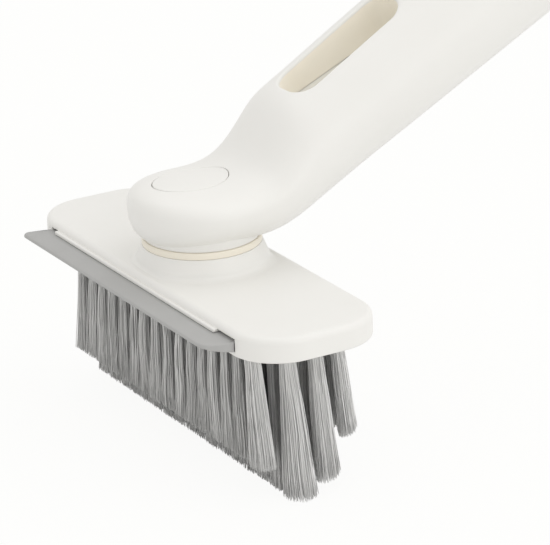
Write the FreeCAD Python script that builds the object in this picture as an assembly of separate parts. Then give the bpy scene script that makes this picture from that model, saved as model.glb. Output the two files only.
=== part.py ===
"""Grout brush: a four-row brush head with a scraper strip, swivelling on a hollow handle.

Frame: millimetres, +Z up.  The origin lies on the swivel axis in the plane of the longest bristle tips.
+X points the way the handle leans, and Y runs along the brush head.
"""
import FreeCAD, Part
import math
import os

V = FreeCAD.Vector

# Brush head
head_length = 130.0
head_width = 40.0
head_thickness = 6.8
head_corner_radius = 14.0
head_edge_round = 1.8
head_skin = 2.0
head_wall = 2.4
bristle_length_inner = 42.2
bristle_length_outer = 31.7
right_trim_inner = 3.8
right_trim_outer = 2.6

# Tuft block under the head, and its tufts
block_clearance = 0.15
tuft_pitch = 6.35
tuft_end_inset = 14.0
row_edge_inset = 7.5
row_spacing = 8.3
tuft_hole_depth = 3.6
tuft_hole_radius = 2.1
tuft_clearance = 0.08
tuft_tip_radius = 2.75
tuft_lean_share = 0.045
staple_width = 0.5
staple_height = 0.6
staple_end_gap = 0.25

# Screws that hold the tuft block
block_screw_y = 12.0
block_screw_head_radius = 2.3
block_screw_head_height = 1.6
block_screw_radius = 1.2
block_screw_reach = 3.4

# Scraper strip on the -X side of the head
notch_near_inset = 12.6
notch_far_inset = 13.8
notch_depth = 1.7
notch_top_drop = 1.8
notch_height = 3.7
retainer_height = 1.0
retainer_proud = 1.1
retainer_near_gap = 9.0
retainer_far_gap = 3.7
blade_reach = 7.2
blade_tip_run = 4.4
blade_round = 8.0
blade_tip_round = 1.2
blade_lip_height = 1.1
blade_end_gap = 0.25

# Collar and swivel
collar_base_radius = 16.8
collar_rim_radius = 16.5
collar_height = 5.4
collar_foot_round = 1.35
collar_rim_round = 0.3
ring_outer_radius = 15.4
ring_flange_radius = 16.3
ring_inner_radius = 11.4
ring_seat_depth = 1.0
swivel_gap = 1.9
skirt_radius = 15.9
skirt_height = 3.6
post_radius = 5.0
post_height = 14.5
bush_wall = 1.0
bush_end_gap = 0.2
running_clearance = 0.05
hub_wall = 3.5
hub_drop = 0.5
insert_radius = 3.2
insert_length = 8.0
pivot_screw_radius = 2.0
pivot_screw_shoulder_radius = 4.0
pivot_screw_head_radius = 6.4
pivot_screw_head_height = 2.0
pivot_screw_drive = 4.0
pivot_screw_drive_depth = 1.4
thread_clearance = 0.03
washer_outer_radius = 7.3
washer_thickness = 0.8
washer_clearance = 0.2
spring_washer_inner_radius = 4.6
spring_washer_outer_radius = 7.1
spring_washer_height = 0.9
spring_washer_thickness = 0.45
well_radius = 7.6
cap_half_length = 11.0
cap_half_width = 8.4
cap_offset = 2.75
cap_clearance = 0.12
cap_seat_height = 19.6
cap_seat_wall = 2.2

# Handle: a knob over the collar that runs into a flattened bar
knob_radius = 19.8
knob_mid_height = 16.8
knob_top_rise = 6.7
knob_bottom_drop = 10.5
knob_power_share = 3.4
handle_lift_deg = 28.9
handle_axis_height = 11.6
handle_length = 205.0
handle_wall = 2.6
bar_half_width = 19.3
bar_half_height = 14.6
bar_end_half_width = 21.0
bar_end_half_height = 16.8
bar_start = 40.0
bar_end_round = 16.0
section_power_share = 2.25
section_points = 28
nose_turn_shares = (0.07, 0.2, 0.36, 0.55, 0.77, 1.0)
neck_along_shares = (0.43, 0.76)
neck_height_shares = (0.14, 0.57)
neck_lift_shares = (0.39, 0.68)
neck_width_shares = (0.41, 0.81)
neck_rise_shares = (0.56, 1.01)
neck_drop_shares = (0.84, 0.89)
bar_shares = (0.0, 0.12, 0.25, 0.4, 0.55, 0.7, 0.83, 0.93, 1.0)
bar_growth_shares = (0.0, 0.2, 0.42, 0.67, 0.88, 0.98, 1.0, 1.0, 1.0)
end_turn_shares = (0.18, 0.36, 0.54, 0.70, 0.83, 0.93)

# Slot through the handle, and the cover under it
slot_start = 39.0
slot_length = 39.3
slot_width = 15.2
slot_corner = 6.0
slot_wall = 2.0
slot_rim_depth = 8.0
cover_start = 34.0
cover_end_inset = 19.0
cover_drop = 10.6
seam_gap = 0.15
cover_screw_shares = (0.43, 0.91)
cover_screw_y = 8.0
cover_screw_radius = 1.4
cover_screw_reach = 9.0
cover_screw_head_radius = 2.7
cover_screw_head_height = 1.8
cover_post_wall = 2.0
cover_boss_height = 3.0
recess_depth = 2.2

overrun = 30.0
touch = 0.02

# Places worked out from the sizes above
head_bottom = bristle_length_inner
head_top = head_bottom + head_thickness
block_thickness = head_thickness - head_skin
knob_bottom = collar_height + swivel_gap
hub_top = post_height - hub_drop
tuft_radius = tuft_hole_radius - tuft_clearance
bush_radius = post_radius + running_clearance + bush_wall
notch_floor = head_thickness - notch_top_drop - notch_height
notch_low_y = notch_near_inset - head_length / 2
notch_high_y = head_length / 2 - notch_far_inset
row_x_outer = head_width / 2 - row_edge_inset
row_x_inner = row_x_outer - row_spacing
tufts_inner = 1 + int((head_length - 2 * tuft_end_inset) / tuft_pitch)
tufts_outer = tufts_inner - 1
cover_end = handle_length - cover_end_inset
cover_screw_places = [cover_start + share * (cover_end - cover_start) for share in cover_screw_shares]


def box(low, high):
    """Box between two corners."""
    size = [top - bottom for bottom, top in zip(low, high)]
    return Part.makeBox(*size, V(*low))


def cylinder(radius, low, high, x=0.0, y=0.0):
    """Upright cylinder between two heights."""
    return Part.makeCylinder(radius, high - low, V(x, y, low))


def revolved(points):
    """Solid turned about Z from an outline of (radius, height) points."""
    corners = [V(radius, 0, height) for radius, height in points]
    face = Part.Face(Part.makePolygon(corners + corners[:1]))
    return face.revolve(V(0, 0, 0), V(0, 0, 1), 360)


def rounded_slab(length, width, radius, low, high):
    """Slab with its long side along Y and round upright corners."""
    slab = box((-width / 2, -length / 2, low), (width / 2, length / 2, high))
    upright = [edge for edge in slab.Edges
               if edge.BoundBox.XLength + edge.BoundBox.YLength < edge.BoundBox.ZLength]
    return slab.makeFillet(radius, upright)


def edges_at(shape, height):
    """Edges that lie wholly in one level plane."""
    found = []
    for edge in shape.Edges:
        if edge.BoundBox.ZLength < touch and abs(edge.BoundBox.ZMin - height) < touch:
            found.append(edge)
    return found


def on_swivel(shape):
    """Carry a shape built above the head's top face to its place."""
    return shape.translated(V(0, 0, head_top))


def on_handle(shape):
    """Carry a shape built along the handle's own axis (X along it, Z out of its top) to its place."""
    moved = shape.copy()
    moved.rotate(V(0, 0, 0), V(0, 1, 0), -handle_lift_deg)
    moved.translate(V(0, 0, head_top + handle_axis_height))
    return moved


def export(name, shapes):
    """Write one node: a single solid, or a group of separate solids."""
    shape = shapes if isinstance(shapes, Part.Shape) else Part.makeCompound(shapes)
    solids = shape.Solids
    print(name, "solids", len(solids), "valid", shape.isValid(), "volume", round(shape.Volume, 1))
    (solids[0] if len(solids) == 1 else Part.makeCompound(solids)).exportStep("parts/%s.step" % name)


# Brush head

def block_outline_radius():
    return head_corner_radius - head_wall


def head_shell():
    """Top cover with its collar, ring seat, swivel post and the pocket for the tuft block."""
    slab = rounded_slab(head_length, head_width, head_corner_radius, head_bottom, head_top)
    slab = slab.makeFillet(head_edge_round, edges_at(slab, head_top))
    collar = revolved([(0, -head_skin / 2), (collar_base_radius, -head_skin / 2), (collar_base_radius, 0),
                       (collar_rim_radius, collar_height), (0, collar_height)])
    rim = [edge for edge in edges_at(collar, collar_height) if edge.BoundBox.XLength > collar_rim_radius]
    collar = collar.makeFillet(collar_rim_round, rim)
    shell = slab.fuse(on_swivel(collar)).removeSplitter()
    foot = [edge for edge in edges_at(shell, head_top) if abs(edge.BoundBox.XLength - 2 * collar_base_radius)
            < collar_foot_round]
    shell = shell.makeFillet(collar_foot_round, foot)
    ring_seat = cylinder(ring_outer_radius + tuft_clearance, collar_height - ring_seat_depth,
                         collar_height + overrun)
    ring_seat = ring_seat.cut(cylinder(ring_inner_radius - tuft_clearance, 0, collar_height + 2 * overrun))
    shell = shell.cut(on_swivel(ring_seat))
    shell = shell.fuse(on_swivel(cylinder(post_radius, collar_height / 2, post_height)))
    bore = cylinder(insert_radius + thread_clearance, post_height - insert_length, post_height + overrun)
    shell = shell.cut(on_swivel(bore))
    pocket = rounded_slab(head_length - 2 * head_wall, head_width - 2 * head_wall, block_outline_radius(),
                          head_bottom - overrun, head_bottom + block_thickness)
    shell = shell.cut(pocket)
    notch = box((-head_width / 2 - overrun, notch_low_y, head_bottom + notch_floor),
                (-head_width / 2 + notch_depth, notch_high_y, head_bottom + notch_floor + notch_height))
    shell = shell.cut(notch)
    for side in (-1, 1):
        pilot = cylinder(block_screw_radius + thread_clearance, head_bottom, head_top + block_screw_reach,
                         0, side * block_screw_y)
        shell = shell.cut(pilot)
    return shell.removeSplitter()


def tuft_rows():
    """Rows as (name, x, number of tufts, free length)."""
    return (("left_outer", -row_x_outer, tufts_outer, bristle_length_outer),
            ("left_inner", -row_x_inner, tufts_inner, bristle_length_inner),
            ("right_inner", row_x_inner, tufts_inner, bristle_length_inner - right_trim_inner),
            ("right_outer", row_x_outer, tufts_outer, bristle_length_outer - right_trim_outer))


def tuft_places(count):
    return [(index - (count - 1) / 2) * tuft_pitch for index in range(count)]


def tuft_block():
    """Block that closes the head from below, drilled for the tufts and counterbored for its screws."""
    gap = block_clearance
    block = rounded_slab(head_length - 2 * head_wall - 2 * gap, head_width - 2 * head_wall - 2 * gap,
                         block_outline_radius() - gap, head_bottom, head_bottom + block_thickness)
    drills = []
    below = head_bottom - overrun
    for name, x, count, length in tuft_rows():
        for y in tuft_places(count):
            drills.append(cylinder(tuft_hole_radius, below, head_bottom + tuft_hole_depth, x, y))
    for side in (-1, 1):
        y = side * block_screw_y
        drills.append(cylinder(block_screw_radius + thread_clearance, below, head_top, 0, y))
        drills.append(cylinder(block_screw_head_radius + tuft_clearance, below, head_bottom + recess_depth,
                               0, y))
    return block.cut(Part.makeCompound(drills))


def tuft(x, y, length):
    """One bundle of bristles: from its staple down to a wider tip that leans towards the row's end."""
    root_z = head_bottom + tuft_hole_depth - staple_height
    upper = cylinder(tuft_radius, head_bottom, root_z, x, y)
    top = Part.Wire(Part.makeCircle(tuft_radius, V(x, y, head_bottom)))
    tip = Part.Wire(Part.makeCircle(tuft_tip_radius, V(x, y * (1 + tuft_lean_share), head_bottom - length)))
    return upper.fuse(Part.makeLoft([tip, top], True, True)).removeSplitter()


def tuft_staples():
    """Wire staples that pin each tuft to the bottom of its hole."""
    half = tuft_hole_radius - staple_end_gap
    top = head_bottom + tuft_hole_depth
    staples = []
    for name, x, count, length in tuft_rows():
        for y in tuft_places(count):
            staples.append(box((x - half, y - staple_width / 2, top - staple_height),
                               (x + half, y + staple_width / 2, top)))
    return staples


def block_screws():
    """Screws through the tuft block into the collar."""
    screws = []
    seat = head_bottom + recess_depth
    for y in (-block_screw_y, block_screw_y):
        head = cylinder(block_screw_head_radius, seat - block_screw_head_height, seat, 0, y)
        shank = cylinder(block_screw_radius, seat, head_top + block_screw_reach, 0, y)
        screws.append(head.fuse(shank).removeSplitter())
    return screws


def blade_plan(low, high):
    """Plan of the scraper: round at its -Y end, and drawn out to a tip at its +Y end."""
    root = -head_width / 2 + notch_depth
    edge = -head_width / 2 - blade_reach
    near = notch_low_y + blade_end_gap
    far = notch_high_y - blade_end_gap
    tip = far + blade_tip_run
    middle = blade_round * (1 - math.sqrt(0.5))
    points = [V(root, near, low), V(edge + blade_round, near, low), V(edge + middle, near + middle, low),
              V(edge, near + blade_round, low), V(edge, tip - blade_tip_round, low),
              V(edge + blade_tip_round, tip, low), V(-head_width / 2 - blade_end_gap, far, low),
              V(root, far, low)]
    outline = [Part.LineSegment(points[0], points[1]).toShape(),
               Part.Arc(points[1], points[2], points[3]).toShape()]
    ring = points[3:] + points[:1]
    outline += [Part.LineSegment(start, end).toShape() for start, end in zip(ring, ring[1:])]
    return Part.Face(Part.Wire(outline)).extrude(V(0, 0, high - low))


def scraper_blade():
    """Grey strip in the head's notch, thinning to a blunt edge."""
    low = head_bottom + notch_floor
    high = low + notch_height - retainer_height
    root = -head_width / 2 + notch_depth
    edge = -head_width / 2 - blade_reach
    middle = (low + high) / 2
    side = [(root, low), (-head_width / 2, low), (edge, middle - blade_lip_height / 2),
            (edge, middle + blade_lip_height / 2), (-head_width / 2, high), (root, high)]
    start = notch_low_y - overrun
    corners = [V(x, start, z) for x, z in side]
    wedge = Part.Face(Part.makePolygon(corners + corners[:1]))
    wedge = wedge.extrude(V(0, notch_high_y - notch_low_y + 2 * overrun, 0))
    return blade_plan(low, high).common(wedge)


def blade_retainer():
    """Thin white strip that holds the scraper down in the notch."""
    high = head_bottom + notch_floor + notch_height
    low = high - retainer_height
    return box((-head_width / 2 - retainer_proud, notch_low_y + retainer_near_gap, low),
               (-head_width / 2 + notch_depth, notch_high_y - retainer_far_gap, high))


# Swivel

def swivel_ring():
    """Bearing ring that sits in the collar, lies over its rim with a flange and carries the knob."""
    low = collar_height - ring_seat_depth
    return on_swivel(revolved([(ring_inner_radius, low), (ring_outer_radius, low),
                               (ring_outer_radius, collar_height), (ring_flange_radius, collar_height),
                               (ring_flange_radius, knob_bottom), (ring_inner_radius, knob_bottom)]))


def post_insert():
    """Threaded brass insert in the post."""
    low = post_height - insert_length
    insert = cylinder(insert_radius, low, post_height)
    return on_swivel(insert.cut(cylinder(pivot_screw_radius + thread_clearance, low - overrun,
                                         post_height + overrun)))


def pivot_bush():
    """Sleeve in the knob's hub that turns on the post."""
    low = knob_bottom + bush_end_gap
    high = hub_top - bush_end_gap
    sleeve = cylinder(bush_radius - thread_clearance, low, high)
    return on_swivel(sleeve.cut(cylinder(post_radius + running_clearance, low - overrun, high + overrun)))


def thrust_washer():
    """Flat washer on top of the hub."""
    washer = cylinder(washer_outer_radius, hub_top, hub_top + washer_thickness)
    bore = cylinder(post_radius + washer_clearance, hub_top - overrun, hub_top + overrun)
    return on_swivel(washer.cut(bore))


def spring_washer():
    """Conical washer that presses the knob on the ring and holds the head where it is turned."""
    low = hub_top + washer_thickness
    high = low + spring_washer_height
    thin = spring_washer_thickness
    outer = spring_washer_outer_radius
    inner = spring_washer_inner_radius
    return on_swivel(revolved([(outer, low), (outer, low + thin), (inner, high), (inner, high - thin)]))


def pivot_screw():
    """Shoulder screw down the swivel axis."""
    seat = hub_top + washer_thickness + spring_washer_height
    top = seat + pivot_screw_head_height
    screw = cylinder(pivot_screw_radius, post_height - insert_length, post_height)
    screw = screw.fuse(cylinder(pivot_screw_shoulder_radius, post_height, seat))
    screw = screw.fuse(cylinder(pivot_screw_head_radius, seat, top)).removeSplitter()
    half = pivot_screw_drive / 2
    floor = top - pivot_screw_drive_depth
    corners = [V(half * math.cos(turn * math.pi / 3), half * math.sin(turn * math.pi / 3), floor)
               for turn in range(6)]
    socket = Part.Face(Part.makePolygon(corners + corners[:1])).extrude(V(0, 0, overrun))
    return on_swivel(screw.cut(socket))


def cap_column(grow, low):
    """Upright oval column at the cap's place, wider by a wall where asked, from a height past the knob."""
    oval = Part.Ellipse(V(-cap_offset, 0, low), cap_half_length + grow, cap_half_width + grow)
    face = Part.Face(Part.Wire(oval.toShape()))
    return on_swivel(face.extrude(V(0, 0, knob_mid_height + knob_top_rise + overrun - low)))


# Handle

def section_wire(place, lift_deg, half_width, rise, drop):
    """Closed rounded section at a point (x, height) of the handle's line, square to a direction."""
    lift = math.radians(lift_deg)
    power = 2 / section_power_share
    points = []
    for index in range(section_points):
        angle = 2 * math.pi * index / section_points
        across = half_width * math.copysign(abs(math.cos(angle)) ** power, math.cos(angle))
        reach = rise if math.sin(angle) > 0 else drop
        along = reach * math.copysign(abs(math.sin(angle)) ** power, math.sin(angle))
        height = head_top + place[1] + along * math.cos(lift)
        points.append(V(place[0] - along * math.sin(lift), across, height))
    curve = Part.BSplineCurve()
    curve.interpolate(Points=points, PeriodicFlag=True)
    return Part.Wire(curve.toShape())


def axis_place(distance):
    """Point (x, height above the head) at a distance along the handle's straight axis."""
    lift = math.radians(handle_lift_deg)
    return (distance * math.cos(lift), handle_axis_height + distance * math.sin(lift))


def handle_solid(inset):
    """Outer body of the handle, or the same body drawn in by a wall."""
    wires = []
    radius = knob_radius - inset
    for share in nose_turn_shares:
        turn = share * math.pi / 2
        fill = (1 - math.cos(turn) ** knob_power_share) ** (1 / knob_power_share)
        wires.append(section_wire((-radius * math.cos(turn), knob_mid_height), 0, radius * math.sin(turn),
                                  (knob_top_rise - inset) * fill, (knob_bottom_drop - inset) * fill))
    first = axis_place(bar_start)
    necks = zip(neck_along_shares, neck_height_shares, neck_lift_shares, neck_width_shares, neck_rise_shares,
                neck_drop_shares)
    for along, height, lift, across, rise, drop in necks:
        place = (along * first[0], knob_mid_height + height * (first[1] - knob_mid_height))
        width = knob_radius + across * (bar_half_width - knob_radius)
        wires.append(section_wire(place, lift * handle_lift_deg, width - inset,
                                  rise * bar_half_height - inset, drop * bar_half_height - inset))
    last = handle_length - bar_end_round
    for share, growth in zip(bar_shares, bar_growth_shares):
        width = bar_half_width + growth * (bar_end_half_width - bar_half_width) - inset
        height = bar_half_height + growth * (bar_end_half_height - bar_half_height) - inset
        place = axis_place(bar_start + share * (last - bar_start))
        wires.append(section_wire(place, handle_lift_deg, width, height, height))
    for share in end_turn_shares:
        turn = share * math.pi / 2
        place = axis_place(last + (bar_end_round - inset) * math.sin(turn))
        wires.append(section_wire(place, handle_lift_deg, (bar_end_half_width - inset) * math.cos(turn),
                                  (bar_end_half_height - inset) * math.cos(turn),
                                  (bar_end_half_height - inset) * math.cos(turn)))
    body = Part.makeLoft(wires, True, False)
    floor = knob_bottom + inset
    below = box((-overrun, -overrun, head_top + floor - overrun), (2 * overrun, overrun, head_top + floor))
    return body.cut(below)


def slot_prism(grow, low, high):
    """Round-cornered column along the slot, wider by a wall where asked."""
    column = rounded_slab(slot_width + 2 * grow, slot_length + 2 * grow, slot_corner + grow, low, high)
    return on_handle(column.translated(V(slot_start + slot_length / 2, 0, 0)))


def cover_prism(grow):
    """Block that marks off the cover on the handle's underside."""
    half = bar_end_half_width + overrun
    return on_handle(box((cover_start - grow, -half, -overrun - bar_half_height),
                         (cover_end + grow, half, grow - cover_drop)))


def screw_spots():
    return [(x, side * cover_screw_y) for x in cover_screw_places for side in (-1, 1)]


def handle_shell(outer, inner):
    """Knob and handle in one hollow moulding, with its hub, skirt, cap seat, slot rim and screw posts."""
    shell = outer.cut(inner)
    hub = on_swivel(cylinder(bush_radius + hub_wall, knob_bottom, hub_top))
    seat = cap_column(cap_seat_wall, hub_top + washer_thickness + spring_washer_height)
    rim = slot_prism(slot_wall, bar_half_height - slot_rim_depth, bar_end_half_height + overrun)
    posts = []
    for x, y in screw_spots():
        post = cylinder(cover_screw_radius + cover_post_wall, cover_boss_height - cover_drop,
                        bar_end_half_height + overrun, x, y)
        posts.append(on_handle(post))
    extra = hub.fuse(seat).fuse(rim).fuse(posts).common(outer)
    skirt = on_swivel(cylinder(skirt_radius, knob_bottom, knob_bottom + skirt_height))
    shell = shell.fuse(extra).fuse(skirt)
    shell = shell.cut(on_swivel(cylinder(bush_radius, knob_bottom - overrun, hub_top + washer_thickness)))
    shell = shell.cut(on_swivel(cylinder(well_radius, hub_top, cap_seat_height + bush_wall)))
    shell = shell.cut(cap_column(0, cap_seat_height))
    shell = shell.cut(slot_prism(0, -overrun - bar_half_height, bar_end_half_height + overrun))
    shell = shell.cut(cover_prism(seam_gap))
    for x, y in screw_spots():
        pilot = cylinder(cover_screw_radius + thread_clearance, -overrun, cover_screw_reach - cover_drop,
                         x, y)
        shell = shell.cut(on_handle(pilot))
    return shell.removeSplitter()


def screw_cap(outer):
    """Oval cap over the pivot screw, flush with the knob's top."""
    return outer.common(cap_column(-cap_clearance, cap_seat_height))


def handle_cover(outer, inner):
    """Cover strip under the handle, with the lower lining of the slot and bosses for its screws."""
    strip = outer.cut(inner).common(cover_prism(0))
    below = -overrun - bar_half_height
    lining = slot_prism(slot_wall, below, bar_half_height - slot_rim_depth - seam_gap)
    bosses = []
    for x, y in screw_spots():
        boss = cylinder(cover_screw_head_radius + cover_post_wall, below, cover_boss_height - cover_drop,
                        x, y)
        bosses.append(on_handle(boss))
    cover = strip.fuse(lining.fuse(bosses).common(outer))
    cover = cover.cut(slot_prism(0, below - overrun, bar_end_half_height + overrun))
    seat = cover_boss_height - cover_drop - recess_depth
    for x, y in screw_spots():
        recess = cylinder(cover_screw_head_radius + tuft_clearance, below, seat, x, y)
        bore = cylinder(cover_screw_radius + thread_clearance, seat - recess_depth, overrun, x, y)
        cover = cover.cut(on_handle(recess)).cut(on_handle(bore))
    return cover.removeSplitter()


def cover_screws():
    """Screws that hold the cover to the posts."""
    screws = []
    seat = cover_boss_height - cover_drop - recess_depth
    for x, y in screw_spots():
        head = cylinder(cover_screw_head_radius, seat - cover_screw_head_height, seat, x, y)
        shank = cylinder(cover_screw_radius, seat, cover_screw_reach - cover_drop, x, y)
        screws.append(on_handle(head.fuse(shank).removeSplitter()))
    return screws


def main():
    os.makedirs("parts", exist_ok=True)
    export("head_shell", head_shell())
    export("tuft_block", tuft_block())
    export("block_screws", block_screws())
    for name, x, count, length in tuft_rows():
        export("tufts_" + name, [tuft(x, y, length) for y in tuft_places(count)])
    export("tuft_staples", tuft_staples())
    export("scraper_blade", scraper_blade())
    export("blade_retainer", blade_retainer())
    export("swivel_ring", swivel_ring())
    export("post_insert", post_insert())
    export("pivot_bush", pivot_bush())
    export("thrust_washer", thrust_washer())
    export("spring_washer", spring_washer())
    export("pivot_screw", pivot_screw())
    outer = handle_solid(0)
    inner = handle_solid(handle_wall)
    export("handle_shell", handle_shell(outer, inner))
    export("screw_cap", screw_cap(outer))
    export("handle_cover", handle_cover(outer, inner))
    export("cover_screws", cover_screws())


main()
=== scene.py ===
"""Looks of the grout brush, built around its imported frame.

Lengths are millimetres in the row's frame, and meshes are written in metres.
"""
import math
import bmesh
import bpy
import numpy as np
from mathutils import Matrix, Vector


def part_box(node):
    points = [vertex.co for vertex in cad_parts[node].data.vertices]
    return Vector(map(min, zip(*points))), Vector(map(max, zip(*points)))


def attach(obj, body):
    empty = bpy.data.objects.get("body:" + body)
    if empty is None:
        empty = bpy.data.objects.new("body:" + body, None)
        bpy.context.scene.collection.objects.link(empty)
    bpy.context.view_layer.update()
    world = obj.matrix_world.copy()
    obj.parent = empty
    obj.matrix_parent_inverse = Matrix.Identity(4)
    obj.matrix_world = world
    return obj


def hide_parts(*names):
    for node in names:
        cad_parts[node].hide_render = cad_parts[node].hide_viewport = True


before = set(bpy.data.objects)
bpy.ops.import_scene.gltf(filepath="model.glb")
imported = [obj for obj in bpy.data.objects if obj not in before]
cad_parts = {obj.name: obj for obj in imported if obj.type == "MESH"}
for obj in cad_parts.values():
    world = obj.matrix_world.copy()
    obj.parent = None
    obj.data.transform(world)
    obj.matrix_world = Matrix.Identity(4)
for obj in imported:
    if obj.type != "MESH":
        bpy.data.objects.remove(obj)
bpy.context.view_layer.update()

MM = 0.001
TINY = 1e-6

# Mesh detail: weld distances in metres, the sharpest smooth angle, points on curves
WELD = 2e-6
SLIVER = 1e-7
SHARP_ANGLE = 35.0
ALL_SMOOTH = 180.0
ROUND_POINTS = 6
EDGE_POINTS = 7
CORNER_POINTS = 15
TURN_POINTS = 145


def node_box(node):
    """Lowest and highest corner of a CAD node, in millimetres."""
    low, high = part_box(node)
    return np.array(low) / MM, np.array(high) / MM


# Places read from the frame
block_low, block_high = node_box("tuft_block")
ring_low, ring_high = node_box("swivel_ring")
blade_low, blade_high = node_box("scraper_blade")
strip_low, strip_high = node_box("blade_retainer")
head_low, head_high = node_box("head_shell")
post_high = head_high[2]
HEAD_HALF_WIDTH = head_high[0]
HEAD_HALF_LENGTH = head_high[1]
HEAD_BOTTOM = head_low[2]
KNOB_FLOOR = ring_high[2]

# Head plate and collar
HEAD_THICKNESS = 6.8
HEAD_TOP = HEAD_BOTTOM + HEAD_THICKNESS
HEAD_CORNER = 14.0
HEAD_EDGE = 1.8
HEAD_FOOT_EDGE = 0.5
HEAD_WALL = 2.4
COLLAR_RIM = 16.5
COLLAR_HEIGHT = 5.4
COLLAR_RIM_ROUND = 0.3
COLLAR_BASE = 18.2
COLLAR_BASE_HEIGHT = 1.6
COLLAR_FOOT_RADIUS = 21.0
COLLAR_FOOT_LIMIT = 18.15
COLLAR_FOOT_LEAST = 0.5
FOOT_BLEND = 14.0
BASE_BLEND = 24.0
POST_RADIUS = 5.0
INSERT_RADIUS = 3.23
INSERT_DEPTH = 8.0
RING_SPIGOT_RADIUS = 15.4
RING_INNER_RADIUS = 11.4
RING_SEAT_GAP = 0.08
RING_EDGE = 0.25
SKIRT_RADIUS = 15.9
SKIRT_HEIGHT = 3.6
SKIRT_EDGE = 0.35
NOTCH_LOW = -52.4
NOTCH_HIGH = 51.2
NOTCH_DEPTH = 1.7
NOTCH_LEDGE = 1.8
NOTCH_HEIGHT = 3.7
NOTCH_TOP = HEAD_TOP - NOTCH_LEDGE
NOTCH_BOTTOM = NOTCH_TOP - NOTCH_HEIGHT
STEP = 0.03
AXIS_RADIUS = 0.02
LEAST_COSINE = 0.1
HEAD_SIDE_POINTS = 42
HEAD_END_POINTS = 9
WALL_RINGS = 6
FOOT_RINGS = 12
PLATE_RINGS = 10

# Handle
KNOB_RADIUS = 19.8
KNOB_MID = 16.8
KNOB_RISE = 6.7
KNOB_DROP = 10.5
KNOB_POWER = 3.4
LIFT = math.radians(28.9)
AXIS_HEIGHT = 11.6
HANDLE_LENGTH = 205.0
BAR_HALF_WIDTH = 19.3
BAR_HALF_HEIGHT = 14.6
BAR_END_HALF_WIDTH = 21.0
BAR_END_HALF_HEIGHT = 16.8
BAR_START = 40.0
BAR_END_ROUND = 16.0
SECTION_POWER = 2.25
FLOOR_ROUND = 0.35
ALONG = np.array([math.cos(LIFT), 0.0, math.sin(LIFT)])
ACROSS = np.array([0.0, 1.0, 0.0])
OUT = np.array([-math.sin(LIFT), 0.0, math.cos(LIFT)])
UP = np.array([0.0, 0.0, 1.0])
LEVEL = np.array([1.0, 0.0, 0.0])

# Slot, cap and cover of the handle
SLOT_START = 39.0
SLOT_LENGTH = 39.3
SLOT_HALF_WIDTH = 7.6
SLOT_CORNER = 6.0
SLOT_RIM_ROUND = 0.9
SLOT_RIM_DEPTH = 8.0
SLOT_SEAM_SLOPE = 0.085
CAP_OFFSET = 2.75
CAP_HALF = np.array([11.0, 8.4])
CAP_GAP = 0.05
CAP_END_GAP = 0.2
CAP_DEPTH = 2.4
CAP_EDGE = 0.2
HUB_HOLE = 6.1
COVER_START = 34.0
COVER_END = 186.0
COVER_DROP = 10.6
COVER_LIP = 1.6
SEAM_GAP = 0.15
RECESS_SHARES = (0.43, 0.91)
RECESS_SIDE = 8.0
RECESS_RADIUS = 2.85
RECESS_EDGE = 0.3
RECESS_MARGIN = 1.9
RECESS_SEAT = 9.75
RECESS_SEAT_SHARES = np.array([0.5, 0.02])

# Blocks of the handle's grid that make room for its holes, and the detail there
HOLE_STEPS = (0.25, 0.5, 0.72, 0.88)
HOLE_PULL = 0.4
SLOT_BEFORE = 4.0
SLOT_AFTER = 5.0
SLOT_BLOCK_ANGLES = (math.radians(50), math.radians(130))
CAP_BLOCK_X = (-16.6, 12.5)
CAP_BLOCK_ANGLES = (math.radians(44), math.radians(136))
HUB_BLOCK_X = (-11.0, 11.0)
HUB_BLOCK_ANGLES = (math.pi * 1.5 - 0.42, math.pi * 1.5 + 0.42)
COVER_COUNT = 150
COVER_SLOT_BEFORE = 3.2
COVER_SLOT_AFTER = 4.0
COVER_SLOT_SHARES = (0.12, 0.88)
LINING_RINGS = 6
CAP_TURNS = 97
CAP_RINGS = 18
CAP_CENTRE = 0.002
CAP_SIDE_LIMIT = 0.99

# Bristles
TUFT_PITCH = 6.35
TUFT_TIP = 2.75
TUFT_LEAN = 0.045
TUFT_FAR_PULL = 0.97
TUFT_ROOT_RADIUS = 1.9
END_ROOT_RADIUS = 1.7
TUFT_ROOT_DEPTH = 1.2
TUFT_TIP_HALF = np.array([2.4, 3.15])
TUFT_SWAY = 0.26
TIP_SWAY = 0.1
TUFT_EASE = 1.3
END_EASE = 1.05
BRISTLES = 250
BRISTLE_RADIUS = 0.13
BRISTLE_RINGS = 8
BRISTLE_SIDES = 3
TIP_JITTER = 0.14
LENGTH_JITTER = 0.2
OUTER_DROP = 0.7
BOW = 0.12
TINT_MEAN = 0.74
TINT_SPREAD = 0.2
TUFT_TINT = 0.05
# Painted shade and painted light in the bristles' tint: shade beside the next tuft and at the inner rows'
# roots, light at the inner rows' tips and on the near-end tufts.
SIDE_SHADE = 0.62
ROW_SHADE = 0.42
PAINTED_TIP_LIGHT = 0.32
PAINTED_END_LIGHT = 0.2
SECOND_SHADE = 0.5
TAPER = 0.25
TAPER_POWER = 4
WAVES = 3
# Where the painted shade and painted light fall, and how fast they fade along the bristles.
PAINTED_SIDE_SHADE_RANGE = (0.55, 0.95)
PAINTED_TIP_LIGHT_RANGE = (0.7, 1.0)
PAINTED_SIDE_SHADE_FADE = 0.5
PAINTED_ROW_SHADE_FADE = 2


# Mesh helpers

def quarter_turn(count):
    """Angles over a quarter turn, with both ends."""
    return np.linspace(0, math.pi / 2, count)


def full_turn(count):
    """Angles over a full turn, without its end."""
    return np.linspace(0, 2 * math.pi, count)[:-1]


def new_object(name, data):
    """Object at the origin, linked to the scene."""
    made = bpy.data.objects.new(name, data)
    bpy.context.scene.collection.objects.link(made)
    return made


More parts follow.
